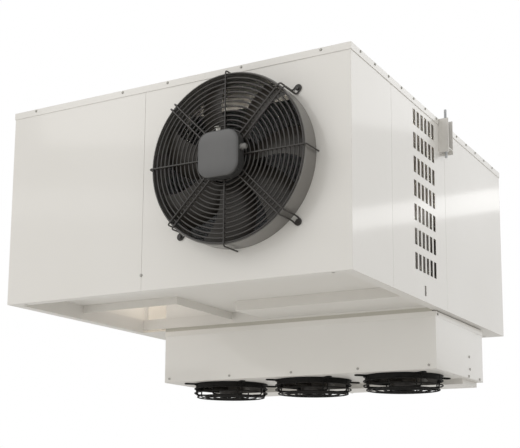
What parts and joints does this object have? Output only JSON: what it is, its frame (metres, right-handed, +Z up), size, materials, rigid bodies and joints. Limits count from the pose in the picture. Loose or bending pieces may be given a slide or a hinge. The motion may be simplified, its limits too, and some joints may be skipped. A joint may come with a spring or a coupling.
{
  "type": "packaged refrigeration unit",
  "caption": "Box-shaped monobloc cooling unit: condensing side with a guarded axial fan, lower evaporator section with basket-guarded fans for a cold room roof.",
  "frame": {"origin": "centre of the four fixing holes, on the underside of the housing", "axes": "+X to the right across the front, +Y from the front to the back, +Z up"},
  "size_m": [1.196, 1.4289, 0.862],
  "materials": {
    "casing_paint": "fine powder coat, off-white, satin",
    "frame_paint": "powder coat, off-white, satin",
    "galvanised": "galvanised sheet and zinc plated fixings",
    "guard_black": "black powder coated wire",
    "motor_black": "black painted cast motor",
    "blade_black": "dark painted sheet blades, satin",
    "box_grey": "dark grey moulded plastic",
    "gland_grey": "light grey moulded plastic",
    "foam_dark": "grey foam and rubber",
    "copper": "copper tube",
    "coil_fins": "thin aluminium fins",
    "machine_black": "black enamelled pressed steel"
  },
  "bodies": {
    "housing": {"base_cross_member": "frame_paint", "base_pan": "frame_paint", "base_rail_front": "frame_paint", "base_rail_left": "frame_paint", "base_rail_rear": "frame_paint", "base_rail_right": "frame_paint", "bay_divider": "galvanised", "compressor": "machine_black", "compressor_grommets": "foam_dark", "condenser_coil": "coil_fins", "control_box": "galvanised", "control_cover": "galvanised", "discharge_line": "copper", "drip_tray": "frame_paint", "evaporator_coil": "coil_fins", "evaporator_fan_guard_1": "guard_black", "evaporator_fan_guard_2": "guard_black", "evaporator_fan_guard_3": "guard_black", "evaporator_fan_motor_1": "motor_black", "evaporator_fan_motor_2": "motor_black", "evaporator_fan_motor_3": "motor_black", "evaporator_fan_plate": "frame_paint", "evaporator_gasket": "foam_dark", "evaporator_screws": "galvanised", "evaporator_shell": "casing_paint", "evaporator_upper_box": "casing_paint", "fan_guard": "guard_black", "fan_motor": "motor_black", "fan_ring": "guard_black", "floor_left_plate": "frame_paint", "floor_rear_plate": "frame_paint", "front_left_panel": "casing_paint", "front_panel": "casing_paint", "guard_screws": "galvanised", "hanger_bracket_left": "frame_paint", "hanger_bracket_right": "frame_paint", "hanger_nuts": "galvanised", "hanger_rods": "galvanised", "inlet_gland": "gland_grey", "intake_collar": "frame_paint", "left_front_panel": "casing_paint", "left_middle_panel": "casing_paint", "left_rear_panel": "casing_paint", "lid": "casing_paint", "lid_screws": "galvanised", "liquid_line": "copper", "liquid_receiver": "machine_black", "panel_screws": "galvanised", "rear_panel": "casing_paint", "right_front_panel": "casing_paint", "right_middle_panel": "casing_paint", "right_rear_panel": "casing_paint", "suction_line": "copper", "sump_tray": "frame_paint", "terminal_box": "box_grey", "terminal_gland": "gland_grey"},
    "condenser_fan": {"condenser_rotor": "blade_black"},
    "evaporator_fan_1": {"evaporator_fan_rotor_1": "blade_black"},
    "evaporator_fan_2": {"evaporator_fan_rotor_2": "blade_black"},
    "evaporator_fan_3": {"evaporator_fan_rotor_3": "blade_black"}
  },
  "joints": [
    {"name": "condenser_fan_spin", "type": "hinge", "parent": "housing", "child": "condenser_fan", "pos_m": [0.234, -0.6602, 0.32], "axis": [0, 1, 0], "continuous": true},
    {"name": "evaporator_fan_1_spin", "type": "hinge", "parent": "housing", "child": "evaporator_fan_1", "pos_m": [-0.263, 0.168, -0.2], "axis": [0, 0, 1], "continuous": true},
    {"name": "evaporator_fan_2_spin", "type": "hinge", "parent": "housing", "child": "evaporator_fan_2", "pos_m": [0.057, 0.168, -0.2], "axis": [0, 0, 1], "continuous": true},
    {"name": "evaporator_fan_3_spin", "type": "hinge", "parent": "housing", "child": "evaporator_fan_3", "pos_m": [0.377, 0.168, -0.2], "axis": [0, 0, 1], "continuous": true}
  ]
}
